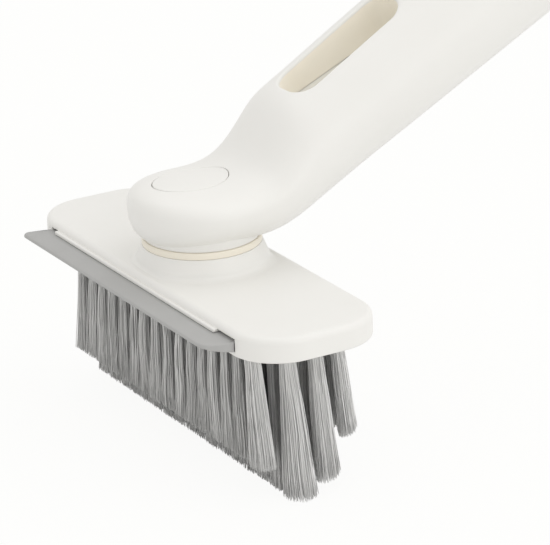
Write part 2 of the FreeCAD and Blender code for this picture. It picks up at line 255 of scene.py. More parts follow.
def grid_quads(rows, columns, close_columns=False):
    """Quads of a grid whose points are stored row by row."""
    row, column = np.meshgrid(np.arange(rows - 1), np.arange(columns if close_columns else columns - 1),
                              indexing="ij")
    after = (column + 1) % columns
    corners = (row * columns + column, row * columns + after, (row + 1) * columns + after,
               (row + 1) * columns + column)
    return np.stack([corner.ravel() for corner in corners], 1)


def loop_quads(loops):
    """Quads between closed loops of point numbers, one loop after another."""
    loops = np.asarray(loops)
    ahead = np.roll(loops, -1, 1)
    return np.stack([loops[:-1].ravel(), ahead[:-1].ravel(), ahead[1:].ravel(), loops[1:].ravel()], 1)


def mesh_piece(name, points, faces, finish, body, slot, nodes, sharp=SHARP_ANGLE, values=None):
    """Object from points in millimetres and faces, welded, facing out, smooth up to an angle."""
    mesh = bpy.data.meshes.new(name)
    mesh.from_pydata((np.asarray(points) * MM).tolist(), [], [list(face) for face in faces])
    if values is not None:
        layer = mesh.attributes.new("shade", "FLOAT", "POINT")
        layer.data.foreach_set("value", np.asarray(values, np.float32))
    else:
        work = bmesh.new()
        work.from_mesh(mesh)
        bmesh.ops.remove_doubles(work, verts=work.verts, dist=WELD)
        bmesh.ops.dissolve_degenerate(work, edges=work.edges, dist=SLIVER)
        bmesh.ops.recalc_face_normals(work, faces=work.faces)
        work.to_mesh(mesh)
        work.free()
    mesh.shade_smooth()
    mesh.set_sharp_from_angle(angle=math.radians(sharp))
    mesh.materials.append(finish)
    piece = new_object(name, mesh)
    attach(piece, body)
    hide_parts(*nodes)


def grid_piece(name, rings, finish, body, slot, nodes, closed=True, sharp=SHARP_ANGLE):
    """Object from rings of points, each joined to the next, and closed round where asked."""
    faces = grid_quads(*rings.shape[:2], closed)
    mesh_piece(name, rings.reshape(-1, 3), faces, finish, body, slot, nodes, sharp)


# Node maths for the materials

class Value:
    """A socket of a node tree; arithmetic on it adds Math nodes."""

    def __init__(self, finish, socket):
        self.finish = finish
        self.socket = socket

    def math(self, operation, first, second):
        """Math node of two values or numbers."""
        return self.finish.node("ShaderNodeMath", {"operation": operation}, {0: first, 1: second})

    def __add__(self, other):
        return self.math("ADD", self, other)

    def __mul__(self, other):
        return self.math("MULTIPLY", self, other)

    __radd__ = __add__
    __rmul__ = __mul__


class Finish:
    """The node tree of a material or of the world."""

    def __init__(self, owner):
        owner.use_nodes = True
        self.owner = owner
        self.tree = owner.node_tree
        self.tree.nodes.clear()

    def node(self, kind, settings=None, sockets=None, out=0):
        """Adds a node: settings first, then values or links of its sockets; gives one output."""
        made = self.tree.nodes.new(kind)
        for key, setting in (settings or {}).items():
            setattr(made, key, setting)
        for key, value in (sockets or {}).items():
            if isinstance(value, Value):
                self.tree.links.new(value.socket, made.inputs[key])
            else:
                made.inputs[key].default_value = value
        return Value(self, made.outputs[out]) if len(made.outputs) else made

    def place(self):
        """Object coordinates of the piece."""
        return self.node("ShaderNodeTexCoord", out="Object")

    def ray(self, kind):
        """Whether the ray is of a kind."""
        return self.node("ShaderNodeLightPath", out=f"Is {kind} Ray")

    def noise(self, scale, detail=2.0, stretch=None):
        """Noise over the piece, about scale grains a metre, stretched along an axis where asked."""
        at = self.place()
        if stretch:
            at = self.node("ShaderNodeMapping", {}, {"Vector": at, "Scale": stretch})
        return self.node("ShaderNodeTexNoise", {}, {"Vector": at, "Scale": scale, "Detail": detail})

    def tint(self, factor, dark, light):
        """Colour between two by a factor."""
        sockets = {0: factor, 6: (*dark, 1), 7: (*light, 1)}
        return self.node("ShaderNodeMix", {"data_type": "RGBA"}, sockets, 2)

    def bump(self, height, strength, distance):
        """Normals from a height, with a distance in millimetres."""
        sockets = {"Strength": strength, "Distance": distance * MM, "Height": height}
        return self.node("ShaderNodeBump", {}, sockets)

    def surface(self, **sockets):
        """Principled surface with sockets named in words, as Base_Color."""
        named = {key.replace("_", " "): value for key, value in sockets.items()}
        shader = self.node("ShaderNodeBsdfPrincipled", {}, named)
        self.node("ShaderNodeOutputMaterial", {}, {"Surface": shader})
        return self.owner


def moulded_plastic(name, dark, light, roughness):
    """Satin moulding: faint tint drift, uneven gloss and a fine spark-eroded grain."""
    finish = Finish(bpy.data.materials.new(name))
    drift = finish.noise(scale=28.0, detail=3.0)
    gloss = finish.noise(scale=160.0)
    grain = finish.noise(scale=2600.0)
    return finish.surface(Base_Color=finish.tint(drift, dark, light), Roughness=roughness + 0.08 * gloss,
                          Normal=finish.bump(grain, strength=0.10, distance=0.02), IOR=1.5)


def soft_rubber(name, dark, light):
    """Matte rubber: a cloudy tint and a fine pebble."""
    finish = Finish(bpy.data.materials.new(name))
    cloud = finish.noise(scale=90.0, detail=4.0)
    pebble = finish.noise(scale=3800.0)
    return finish.surface(Base_Color=finish.tint(cloud, dark, light), Roughness=0.52 + 0.12 * cloud,
                          Normal=finish.bump(pebble, strength=0.18, distance=0.02))


def drawn_filament(name, dark, light):
    """Bristles: a tint read from the shade attribute, which holds each bristle's own tint with painted shade
    and painted light, and long streaks down its length.
    """
    finish = Finish(bpy.data.materials.new(name))
    own = finish.node("ShaderNodeAttribute", {"attribute_name": "shade"}, out="Fac")
    streak = finish.noise(scale=900.0, stretch=(1.0, 1.0, 0.06))
    return finish.surface(Base_Color=finish.tint(own * 0.85 + streak * 0.15, dark, light),
                          Roughness=0.5 + 0.15 * streak)


def plated_metal(name, dark, light, roughness):
    """Plated or drawn metal with fine turning marks."""
    finish = Finish(bpy.data.materials.new(name))
    marks = finish.noise(scale=1500.0, detail=3.0, stretch=(1.0, 1.0, 8.0))
    return finish.surface(Base_Color=finish.tint(marks, dark, light), Metallic=1.0,
                          Roughness=roughness + 0.12 * marks,
                          Normal=finish.bump(marks, strength=0.08, distance=0.01))


white_plastic = moulded_plastic("white_plastic", (0.83, 0.823, 0.795), (0.87, 0.863, 0.84), 0.36)
block_plastic = moulded_plastic("block_plastic", (0.80, 0.79, 0.76), (0.84, 0.83, 0.80), 0.42)
cream_plastic = moulded_plastic("cream_plastic", (0.88, 0.825, 0.71), (0.91, 0.86, 0.755), 0.40)
# Lighter copy of the cream plastic for the slot's upper wall: painted light in the shaded slot.
slot_cream_painted_light = moulded_plastic("slot_cream_painted_light", (0.93, 0.88, 0.77), (0.955, 0.91, 0.81), 0.45)
# Lighter copy of the white plastic for the slot's lower wall: painted light in the shaded slot.
slot_white_painted_light = moulded_plastic("slot_white_painted_light", (0.94, 0.925, 0.88), (0.96, 0.95, 0.91), 0.45)
grey_rubber = soft_rubber("grey_rubber", (0.40, 0.40, 0.395), (0.46, 0.46, 0.455))
grey_bristle = drawn_filament("grey_bristle", (0.08, 0.08, 0.079), (0.98, 0.98, 0.975))
steel = plated_metal("steel", (0.55, 0.55, 0.57), (0.72, 0.72, 0.73), 0.25)
brass = plated_metal("brass", (0.60, 0.44, 0.18), (0.78, 0.60, 0.28), 0.28)


# Handle surface

def nose_rows(turns):
    """Knob sections over a quarter turn: x, height, lift, half width, rise and drop of each."""
    fill = (1 - np.cos(turns) ** KNOB_POWER) ** (1 / KNOB_POWER)
    flat = np.zeros_like(turns)
    return np.stack([-KNOB_RADIUS * np.cos(turns), flat + KNOB_MID, flat, KNOB_RADIUS * np.sin(turns),
                     KNOB_RISE * fill, KNOB_DROP * fill], 1)


def bar_rows(distances):
    """Bar sections along the handle's straight axis, widening to its end."""
    share = (distances - BAR_START) / (HANDLE_LENGTH - BAR_END_ROUND - BAR_START)
    growth = np.interp(share, BAR_SHARES, BAR_GROWTH_SHARES)
    height = BAR_HALF_HEIGHT + growth * (BAR_END_HALF_HEIGHT - BAR_HALF_HEIGHT)
    width = BAR_HALF_WIDTH + growth * (BAR_END_HALF_WIDTH - BAR_HALF_WIDTH)
    return np.stack([distances * ALONG[0], AXIS_HEIGHT + distances * ALONG[2], 0 * share + LIFT, width,
                     height, height], 1)


def smooth_through(knots, rows, at):
    """Natural cubic spline through rows at knots, read at other places."""
    count = len(knots)
    gap = np.diff(knots)
    inner = np.arange(1, count - 1)
    system = np.eye(count)
    system[inner, inner - 1] = gap[:-1]
    system[inner, inner] = 2 * (gap[:-1] + gap[1:])
    system[inner, inner + 1] = gap[1:]
    slope = np.diff(rows, axis=0) / gap[:, None]
    bend = np.zeros_like(rows)
    bend[1:-1] = 6 * np.diff(slope, axis=0)
    bend = np.linalg.solve(system, bend)
    span = np.clip(np.searchsorted(knots, at) - 1, 0, count - 2)
    width = gap[span][:, None]
    before = (knots[span + 1] - at)[:, None]
    after = (at - knots[span])[:, None]
    return ((bend[span] * before ** 3 + bend[span + 1] * after ** 3) / (6 * width)
            + (rows[span] / width - bend[span] * width / 6) * before
            + (rows[span + 1] / width - bend[span + 1] * width / 6) * after)


NOSE_SHARES = np.array([0.2, 0.36, 0.55, 0.77, 1.0])
NECK_SHARES = np.array([[0.43, 0.14, 0.39, 0.41, 0.56, 0.84], [0.76, 0.57, 0.68, 0.81, 1.01, 0.89]])
BAR_SHARES = np.array([0.0, 0.12, 0.25, 0.4, 0.55, 0.7, 0.83, 0.93, 1.0])
BAR_GROWTH_SHARES = np.array([0.0, 0.2, 0.42, 0.67, 0.88, 0.98, 1.0, 1.0, 1.0])
NOSE_COUNT = 44
NECK_END = NOSE_COUNT + 30
MIDDLE_COUNT = 172
END_COUNT = 26
NORMAL_STEP = 0.2
NORMAL_TURN = 0.01
SOLVE_ROUNDS = 12
SOLVE_STEP = 0.05
SOLVE_TURN = 0.001
SOLVE_STEP_LIMIT = 3
SOLVE_TURN_LIMIT = 0.15


def neck_rows():
    """Neck sections as shares of the way from the knob to the bar's first section."""
    first = bar_rows(np.array([BAR_START]))[0]
    x, z, lift, width, rise, drop = NECK_SHARES.T
    return np.stack([x * first[0], KNOB_MID + z * (first[1] - KNOB_MID), lift * LIFT,
                     KNOB_RADIUS + width * (BAR_HALF_WIDTH - KNOB_RADIUS), rise * BAR_HALF_HEIGHT,
                     drop * BAR_HALF_HEIGHT], 1)


def handle_stations():
    """Sections from the knob's nose to the bar's round end, close together."""
    last = HANDLE_LENGTH - BAR_END_ROUND
    guides = np.vstack([nose_rows(NOSE_SHARES * math.pi / 2), neck_rows(),
                        bar_rows(BAR_START + BAR_SHARES * (last - BAR_START))])
    knots = np.concatenate([[0], np.cumsum(np.hypot(np.diff(guides[:, 0]), np.diff(guides[:, 1])))])
    nose = nose_rows(quarter_turn(NOSE_COUNT))
    start = knots[len(NOSE_SHARES) - 1]
    middle = smooth_through(knots, guides, np.linspace(start, knots[-1], MIDDLE_COUNT)[1:])
    turn = quarter_turn(END_COUNT)[1:]
    end = bar_rows(last + BAR_END_ROUND * np.sin(turn))
    end[:, 3] = BAR_END_HALF_WIDTH * np.cos(turn)
    end[:, 4] = BAR_END_HALF_HEIGHT * np.cos(turn)
    end[:, 5] = end[:, 4]
    return np.vstack([nose, middle, end])


stations = handle_stations()
station_numbers = np.arange(len(stations), dtype=float)
station_distance = stations[:, 0] * ALONG[0] + (stations[:, 1] - AXIS_HEIGHT) * ALONG[2]


def signed_power(value, power):
    """Power of a value's size, with the value's sign."""
    return np.sign(value) * np.abs(value) ** power


def handle_points(station, angle):
    """Point of the handle at a station and an angle round it: a superellipse, flat under the knob."""
    x, z, lift, width, rise, drop = (np.interp(station, station_numbers, column) for column in stations.T)
    cosine, sine = np.cos(angle), np.sin(angle)
    across = width * signed_power(cosine, 2 / SECTION_POWER)
    along = np.where(sine > 0, rise, drop) * signed_power(sine, 2 / SECTION_POWER)
    height = HEAD_TOP + z + along * np.cos(lift)
    height = KNOB_FLOOR + FLOOR_ROUND * np.logaddexp(0, (height - KNOB_FLOOR) / FLOOR_ROUND)
    return np.stack([x - along * np.sin(lift), across, height], -1)


def handle_normals(station, angle):
    """Unit normals of the handle, out of its surface, from small steps along and around it."""
    ahead = handle_points(station + NORMAL_STEP, angle) - handle_points(station - NORMAL_STEP, angle)
    around = handle_points(station, angle + NORMAL_TURN) - handle_points(station, angle - NORMAL_TURN)
    normal = np.cross(around, ahead)
    return normal / np.maximum(np.linalg.norm(normal, axis=-1, keepdims=True), TINY)


def find_on_handle(axes, target, station, angle):
    """Station and angle whose point has the wanted coordinates along two axes, by Newton steps."""
    for _ in range(SOLVE_ROUNDS):
        here = handle_points(station, angle) @ axes.T
        by_station = (handle_points(station + SOLVE_STEP, angle) @ axes.T - here) / SOLVE_STEP
        by_angle = (handle_points(station, angle + SOLVE_TURN) @ axes.T - here) / SOLVE_TURN
        miss = target - here
        area = by_station[:, 0] * by_angle[:, 1] - by_station[:, 1] * by_angle[:, 0]
        area = np.where(np.abs(area) < TINY, TINY, area)
        step_station = (miss[:, 0] * by_angle[:, 1] - miss[:, 1] * by_angle[:, 0]) / area
        step_angle = (by_station[:, 0] * miss[:, 1] - by_station[:, 1] * miss[:, 0]) / area
        station = station + np.clip(step_station, -SOLVE_STEP_LIMIT, SOLVE_STEP_LIMIT)
        angle = angle + np.clip(step_angle, -SOLVE_TURN_LIMIT, SOLVE_TURN_LIMIT)
    return station, angle


UPPER_CELLS = 96
LOWER_CELLS = 44
SEAM_DROP_LIMIT = 0.85


def seam_angle(station):
    """How far below the sides the cover's seam lies, as an angle round the section."""
    drop = np.interp(station, station_numbers, stations[:, 5])
    share = np.minimum(COVER_DROP / np.maximum(drop, TINY), SEAM_DROP_LIMIT)
    return np.arcsin(share ** (SECTION_POWER / 2))


def row_angles(station):
    """Angles of all grid rows at each station: the upper rows, then the lower ones."""
    seam = seam_angle(station)[:, None]
    upper = -seam + np.linspace(0, 1, UPPER_CELLS + 1)[None] * (math.pi + 2 * seam)
    lower = math.pi + seam + np.linspace(0, 1, LOWER_CELLS + 1)[None, 1:-1] * (math.pi - 2 * seam)
    return np.concatenate([upper, lower], 1)


class Patchwork:
    """A grid of points in which holes are opened, each with rings that run from the grid to its edge."""

    def __init__(self, points, quads, columns):
        self.points = [points.reshape(-1, 3)]
        self.count = len(self.points[0])
        self.quads = quads
        self.columns = columns
        self.extra = []

    def add(self, loops):
        """Adds loops of points and gives their numbers."""
        numbers = self.count + np.arange(loops.shape[0] * loops.shape[1]).reshape(loops.shape[:2])
        self.points.append(loops.reshape(-1, 3))
        self.count += numbers.size
        return numbers

    def boundary(self, i0, i1, j0, j1):
        """Point numbers round a block of cells."""
        i, j = np.arange(i0, i1 + 1), np.arange(j0, j1 + 1)
        sides = [(i[:-1], np.full(len(i) - 1, j0)), (np.full(len(j) - 1, i1), j[:-1]),
                 (i[:0:-1], np.full(len(i) - 1, j1)), (np.full(len(j) - 1, i0), j[:0:-1])]
        return np.concatenate([row * self.columns + column % self.columns for row, column in sides])

    def drop_cells(self, i0, i1, j0, j1):
        """Takes a block of cells out of the grid."""
        row, column = self.quads[:, 0] // self.columns, self.quads[:, 0] % self.columns
        inside = (row >= i0) & (row < i1) & (column >= j0) & (column < j1)
        self.quads = self.quads[~inside]

    def stitch(self, loops):
        """Joins each loop to the next."""
        self.extra.append(loop_quads(loops))

    def result(self):
        """All points and quads."""
        return np.vstack(self.points), np.vstack([self.quads] + self.extra)


def open_hole(work, stations_of_rows, angles, block, axes, edge_of, column, rim):
    """Opens a hole along a column: rings from the grid to its rounded edge.  Gives the last ring."""
    loop = work.boundary(*block)
    row, col = loop // work.columns, loop % work.columns
    station, angle = stations_of_rows[row], angles[row, col]
    outer = handle_points(station, angle) @ axes.T
    edge = edge_of(outer)
    gap = np.linalg.norm(outer - edge, axis=1)[:, None]
    away = (outer - edge) / gap
    turns = quarter_turn(ROUND_POINTS)
    reaches = [(gap - rim) * (1 - step) + rim for step in HOLE_STEPS]
    reaches += [rim * (1 - math.sin(turn)) for turn in turns]
    sinks = [0.0] * len(HOLE_STEPS) + [rim * (1 - math.cos(turn)) for turn in turns]
    middle_station = (station.min() + station.max()) / 2
    middle_angle = (angle.min() + angle.max()) / 2
    rings = []
    for reach, sink in zip(reaches, sinks):
        ring = edge + away * reach
        pull = np.linalg.norm(outer - ring, axis=1) / gap[:, 0] * HOLE_PULL
        found = find_on_handle(axes, ring, station + (middle_station - station) * pull,
                               angle + (middle_angle - angle) * pull)
        rings.append(handle_points(*found) - column * sink)
    work.drop_cells(*block)
    work.stitch(np.vstack([loop[None], work.add(np.array(rings))]))
    return rings[-1]


def oblong_edge(outer):
    """Nearest points of the slot's round-cornered outline, in distance along the handle and across it."""
    half = np.array([SLOT_LENGTH / 2, SLOT_HALF_WIDTH])
    centre = np.array([SLOT_START + SLOT_LENGTH / 2 + AXIS_POINT @ ALONG, 0.0])
    spine = np.clip(outer - centre, SLOT_CORNER - half, half - SLOT_CORNER)
    away = outer - centre - spine
    return centre + spine + SLOT_CORNER * away / np.linalg.norm(away, axis=1, keepdims=True)


def oval_edge(centre, half):
    """Gives a function to the points of an oval that lie towards outer points."""
    def edge(outer):
        spread = (outer - centre) / half
        return centre + (outer - centre) / np.linalg.norm(spread, axis=1, keepdims=True)
    return edge


def station_at(distance):
    """Station at a distance along the handle's axis."""
    return float(np.interp(distance, station_distance[NOSE_COUNT:], station_numbers[NOSE_COUNT:]))


def station_at_x(x):
    """Station of the knob or neck at a place along X."""
    return float(np.interp(x, stations[:NECK_END, 0], station_numbers[:NECK_END]))


AXIS_POINT = np.array([0.0, 0.0, HEAD_TOP + AXIS_HEIGHT])
SLOT_AXES = np.stack([ALONG, ACROSS])
LEVEL_AXES = np.stack([LEVEL, ACROSS])


def above_axis(points):
    """Height of points out of the handle's axis plane."""
    return (points - AXIS_POINT) @ OUT


def seam_level(points):
    """Height of the slot's seam out of the axis plane, falling a little along the handle."""
    distance = (points - AXIS_POINT) @ ALONG - SLOT_START
    return BAR_HALF_HEIGHT - SLOT_RIM_DEPTH - SLOT_SEAM_SLOPE * distance


def block_round(angles, station_low, station_high, angle_low, angle_high):
    """Block of grid cells between two stations and two angles."""
    i0, i1 = int(round(station_low)), int(round(station_high))
    middle = angles[(i0 + i1) // 2]
    return i0, i1, int(np.argmin(np.abs(middle - angle_low))), int(np.argmin(np.abs(middle - angle_high)))


def wall_below(mouth, column, depths):
    """Rings of a wall that goes down from a mouth along a column."""
    return np.array([mouth - column * np.reshape(depth, (-1, 1)) for depth in depths])


def turned_in_lip(work, place, angles, block):
    """Lip that turns in along the normals from the edge of a block of cells."""
    loop = work.boundary(*block)
    row, column = loop // work.columns, loop % work.columns
    at = place[row], angles[row, column]
    lip = handle_points(*at) - handle_normals(*at) * COVER_LIP
    work.stitch(np.vstack([loop[None], work.add(lip[None])]))


def handle_shell():
    """Knob, neck and bar in one skin, open at the slot, the cap, the hub and the cover."""
    angles = row_angles(station_numbers)
    columns = angles.shape[1]
    points = handle_points(station_numbers[:, None], angles)
    work = Patchwork(points, grid_quads(len(stations), columns, True), columns)
    slot_ends = station_at(SLOT_START - SLOT_BEFORE), station_at(SLOT_START + SLOT_LENGTH + SLOT_AFTER)
    slot_block = block_round(angles, *slot_ends, *SLOT_BLOCK_ANGLES)
    slot_mouth = open_hole(work, station_numbers, angles, slot_block, SLOT_AXES, oblong_edge, OUT,
                           SLOT_RIM_ROUND)

    def pocket(places, turns, edge, column):
        """Opens a hole in the knob, with a straight wall."""
        block = block_round(angles, *map(station_at_x, places), *turns)
        mouth = open_hole(work, station_numbers, angles, block, LEVEL_AXES, edge, column, CAP_EDGE)
        work.stitch(work.add(wall_below(mouth, column, [0.0, CAP_DEPTH])))

    pocket(CAP_BLOCK_X, CAP_BLOCK_ANGLES, oval_edge(np.array([-CAP_OFFSET, 0.0]), CAP_HALF), UP)
    cover = (int(round(station_at(COVER_START))), int(round(station_at(COVER_END))), UPPER_CELLS, columns)
    turned_in_lip(work, station_numbers, angles, cover)
    work.drop_cells(*cover)
    pocket(HUB_BLOCK_X, HUB_BLOCK_ANGLES, oval_edge(np.zeros(2), np.full(2, HUB_HOLE)), -UP)
    mesh_piece("handle_skin", *work.result(), white_plastic, "handle", "white_plastic", ["handle_shell"])
    return slot_mouth


def slot_lining(mouth):
    """Cream wall of the slot's upper part, from its rim down to the seam with the cover's lining; its cream
    is lighter than the cream plastic's, painted light in the shaded slot.
    """
    depth = above_axis(mouth) - seam_level(mouth)
    rings = wall_below(mouth, OUT, [depth * share for share in np.linspace(0, 1, LINING_RINGS)])
    grid_piece("slot_upper_lining", rings, slot_cream_painted_light, "handle", "cream_plastic", ["handle_shell"])


def screw_recess(work, place, angles, distance, centre):
    """Round recess in the cover: its edge, a straight wall up to the screw's seat, and the seat."""
    reach = RECESS_RADIUS + RECESS_MARGIN
    rows = np.flatnonzero(np.abs(distance - centre[0]) < reach)
    middle_row = rows[len(rows) // 2]
    across = handle_points(place[middle_row], angles[middle_row])[:, 1]
    columns = np.flatnonzero(np.abs(across - centre[1]) < reach)
    middle = centre + np.array([AXIS_POINT @ ALONG, 0.0])
    edge = oval_edge(middle, np.full(2, RECESS_RADIUS))
    block = rows[0], rows[-1], columns[0], columns[-1]
    mouth = open_hole(work, place, angles, block, SLOT_AXES, edge, -OUT, RECESS_EDGE)
    wall = wall_below(mouth, -OUT, [0.0, -RECESS_SEAT - above_axis(mouth)])
    seat_centre = wall[-1].mean(0)
    seat = seat_centre + (wall[-1] - seat_centre) * RECESS_SEAT_SHARES[:, None, None]
    work.stitch(work.add(np.concatenate([wall, seat])))


def handle_cover():
    """Cover under the bar: the lower rows of the handle's surface, with the slot's lower lining."""
    ends = station_at(COVER_START + SEAM_GAP), station_at(COVER_END - SEAM_GAP)
    place = np.linspace(*ends, COVER_COUNT)
    seam = seam_angle(place)[:, None] + SEAM_GAP / BAR_HALF_WIDTH
    angles = math.pi + seam + np.linspace(0, 1, LOWER_CELLS + 1)[None] * (math.pi - 2 * seam)
    columns = angles.shape[1]
    points = handle_points(place[:, None], angles)
    work = Patchwork(points, grid_quads(len(place), columns), columns)
    turned_in_lip(work, place, angles, (0, len(place) - 1, 0, columns - 1))
    distance = np.interp(place, station_numbers, station_distance)
    i0 = int(np.argmin(np.abs(distance - (SLOT_START - COVER_SLOT_BEFORE))))
    i1 = int(np.argmin(np.abs(distance - (SLOT_START + SLOT_LENGTH + COVER_SLOT_AFTER))))
    block = (i0, i1, *(int(LOWER_CELLS * share) for share in COVER_SLOT_SHARES))
    mouth = open_hole(work, place, angles, block, SLOT_AXES, oblong_edge, -OUT, SLOT_RIM_ROUND)
    for share in RECESS_SHARES:
        for side in (-RECESS_SIDE, RECESS_SIDE):
            centre = np.array([COVER_START + share * (COVER_END - COVER_START), side])
            screw_recess(work, place, angles, distance, centre)
    rise = seam_level(mouth) - SEAM_GAP - above_axis(mouth)
    mesh_piece("handle_under_cover", *work.result(), white_plastic, "handle", "white_plastic",
               ["handle_cover"])
    rings = wall_below(mouth, -OUT, [rise * share for share in np.linspace(0, 1, LINING_RINGS)])
    # The slot's lower lining takes the lighter copy of the white plastic: painted light in the shaded slot.
    grid_piece("slot_lower_lining", rings, slot_white_painted_light, "handle", "white_plastic", ["handle_cover"])


def screw_cap():
    """Oval cap that follows the knob's top, with a rounded edge and a skirt."""
    turns = full_turn(CAP_TURNS)
    fall = quarter_turn(ROUND_POINTS)[1:]
    flat_share = 1 - (CAP_GAP + CAP_EDGE) / CAP_HALF.mean()
    edge_share = CAP_EDGE / CAP_HALF.mean()
    top_shares = np.linspace(CAP_CENTRE, flat_share, CAP_RINGS)
    shares = np.concatenate([top_shares, flat_share + edge_share * np.sin(fall)])
    sink = np.concatenate([np.zeros(CAP_RINGS), CAP_EDGE * (1 - np.cos(fall))])
    circle = np.stack([np.cos(turns), np.sin(turns)], 1) * (CAP_HALF - np.array([CAP_END_GAP, 0.0]))
    flat = (shares[:, None, None] * circle + np.array([-CAP_OFFSET, 0.0])).reshape(-1, 2)
    station = np.interp(flat[:, 0], stations[1:NECK_END, 0], station_numbers[1:NECK_END])
    width = np.interp(station, station_numbers, stations[:, 3])
    cosine = signed_power(flat[:, 1] / width, SECTION_POWER / 2)
    angle = np.arccos(np.clip(cosine, -CAP_SIDE_LIMIT, CAP_SIDE_LIMIT))
    found = find_on_handle(LEVEL_AXES, flat, station, angle)
    top = handle_points(*found).reshape(len(shares), len(turns), 3) - UP * sink[:, None, None]
    rings = np.vstack([top, top[-1:] - UP * CAP_DEPTH])
    grid_piece("pivot_cap", rings, white_plastic, "handle", "white_plastic", ["screw_cap"])


# Brush head

def head_outline():
    """Points and outward normals of the plate's outline, closer at the notch's ends."""
    quarter = quarter_turn(CORNER_POINTS)
    straight_x = HEAD_HALF_WIDTH - HEAD_CORNER
    straight_y = HEAD_HALF_LENGTH - HEAD_CORNER
    side = np.linspace(-straight_y, straight_y, HEAD_SIDE_POINTS)[1:-1]
    beside = np.array([-STEP, STEP])
    notch_far = math.pi / 2 - np.arcsin((NOTCH_HIGH + beside - straight_y) / HEAD_CORNER)
    notch_near = np.arcsin((-straight_y - NOTCH_LOW + beside) / HEAD_CORNER)
    end = np.linspace(-straight_x, straight_x, HEAD_END_POINTS)[1:-1]
    points, normals = [], []

    def run(x, y, nx, ny):
        """Adds a stretch of the outline."""
        points.append(np.stack(np.broadcast_arrays(x, y), 1))
        normals.append(np.broadcast_to(np.stack([nx, ny], 1), points[-1].shape))

    def corner(x, y, start, more=()):
        """Adds a quarter round, with more points where asked."""
        turn = start + np.sort(np.concatenate([quarter, more]))
        run(x + HEAD_CORNER * np.cos(turn), y + HEAD_CORNER * np.sin(turn), np.cos(turn), np.sin(turn))

    run(HEAD_HALF_WIDTH, side, [1.0], [0.0])
    corner(straight_x, straight_y, 0)
    run(end[::-1], HEAD_HALF_LENGTH, [0.0], [1.0])
    corner(-straight_x, straight_y, math.pi / 2, notch_far)
    run(-HEAD_HALF_WIDTH, side[::-1], [-1.0], [0.0])
    corner(-straight_x, -straight_y, math.pi, notch_near)
    run(end, -HEAD_HALF_LENGTH, [0.0], [-1.0])
    corner(straight_x, -straight_y, 1.5 * math.pi)
    return np.vstack(points), np.vstack(normals)


def softly_least(first, second, power):
    """Lesser of two lengths, with a soft change from one to the other: an inverse power mean's sum."""
    return (first ** -power + second ** -power) ** (-1 / power)


def head_plate():
    """Head in one skin, a profile carried round from the swivel axis out to the plate's foot.

    It runs over the post, down and up the ring's seat, over the collar's rim, down its cone wall, out along
    its hollow foot, over the plate, and down the plate's side, which steps in along the scraper's notch.
    """
    outline, normals = head_outline()
    turn = np.arctan2(outline[:, 1] / HEAD_HALF_LENGTH, outline[:, 0] / HEAD_HALF_WIDTH)
    circle = np.stack([np.cos(turn), np.sin(turn)], 1)
    quarter = quarter_turn(EDGE_POINTS)
    rings = []

    def ring(flat, height):
        """Adds a ring of points at one height."""
        rings.append(np.column_stack([flat, np.full(len(flat), height)]))

    seat_floor = ring_low[2]
    collar_top = HEAD_TOP + COLLAR_HEIGHT
    seat_outer, seat_inner = RING_SPIGOT_RADIUS + RING_SEAT_GAP, RING_INNER_RADIUS - RING_SEAT_GAP
    inner_profile = [(AXIS_RADIUS, post_high - INSERT_DEPTH), (INSERT_RADIUS, post_high - INSERT_DEPTH),
                     (INSERT_RADIUS, post_high), (POST_RADIUS, post_high), (POST_RADIUS, collar_top),
                     (seat_inner, collar_top), (seat_inner, seat_floor), (seat_outer, seat_floor),
                     (seat_outer, collar_top)]
    for radius, height in inner_profile:
        ring(circle * radius, height)
    for angle in quarter:
        ring(circle * (COLLAR_RIM - COLLAR_RIM_ROUND * (1 - math.sin(angle))),
             collar_top - COLLAR_RIM_ROUND * (1 - math.cos(angle)))
    limit = COLLAR_FOOT_LIMIT / np.maximum(np.abs(circle[:, 0]), LEAST_COSINE)
    foot = softly_least(COLLAR_FOOT_RADIUS, limit, FOOT_BLEND)[:, None]
    base = softly_least(COLLAR_BASE, foot - COLLAR_FOOT_LEAST, BASE_BLEND)
    wall_top = collar_top - COLLAR_RIM_ROUND
    wall_low = HEAD_TOP + COLLAR_BASE_HEIGHT
    for share in np.linspace(0, 1, WALL_RINGS)[1:]:
        ring(circle * (COLLAR_RIM + (base - COLLAR_RIM) * share), wall_top + (wall_low - wall_top) * share)
    for angle in quarter_turn(FOOT_RINGS)[1:]:
        reach = foot - (foot - base) * math.cos(angle)
        ring(circle * reach, HEAD_TOP + COLLAR_BASE_HEIGHT * (1 - math.sin(angle)))
    inner = circle * foot
    outer = outline - normals * HEAD_EDGE
    for share in np.linspace(0, 1, PLATE_RINGS)[1:-1]:
        ring(inner + (outer - inner) * share, HEAD_TOP)
    for angle in quarter:
        inset = HEAD_EDGE * (1 - math.sin(angle))
        ring(outline - normals * inset, HEAD_TOP - HEAD_EDGE * (1 - math.cos(angle)))
    in_notch = (outline[:, 0] < 0) & (outline[:, 1] > NOTCH_LOW) & (outline[:, 1] < NOTCH_HIGH)
    sunk = outline.copy()
    sunk[in_notch, 0] = NOTCH_DEPTH - HEAD_HALF_WIDTH
    ring(outline, NOTCH_TOP - STEP)
    ring(sunk, NOTCH_TOP - 2 * STEP)
    ring(sunk, NOTCH_BOTTOM + STEP)
    ring(outline, NOTCH_BOTTOM - STEP)
    for angle in quarter:
        ring(outline - normals * HEAD_FOOT_EDGE * (1 - math.cos(angle)),
             HEAD_BOTTOM + HEAD_FOOT_EDGE * (1 - math.sin(angle)))
    for height in (HEAD_BOTTOM, HEAD_BOTTOM + HEAD_FOOT_EDGE, block_high[2]):
        ring(outline - normals * HEAD_WALL, height)
    grid_piece("head_plate", np.array(rings), white_plastic, "head", "white_plastic", ["head_shell"])


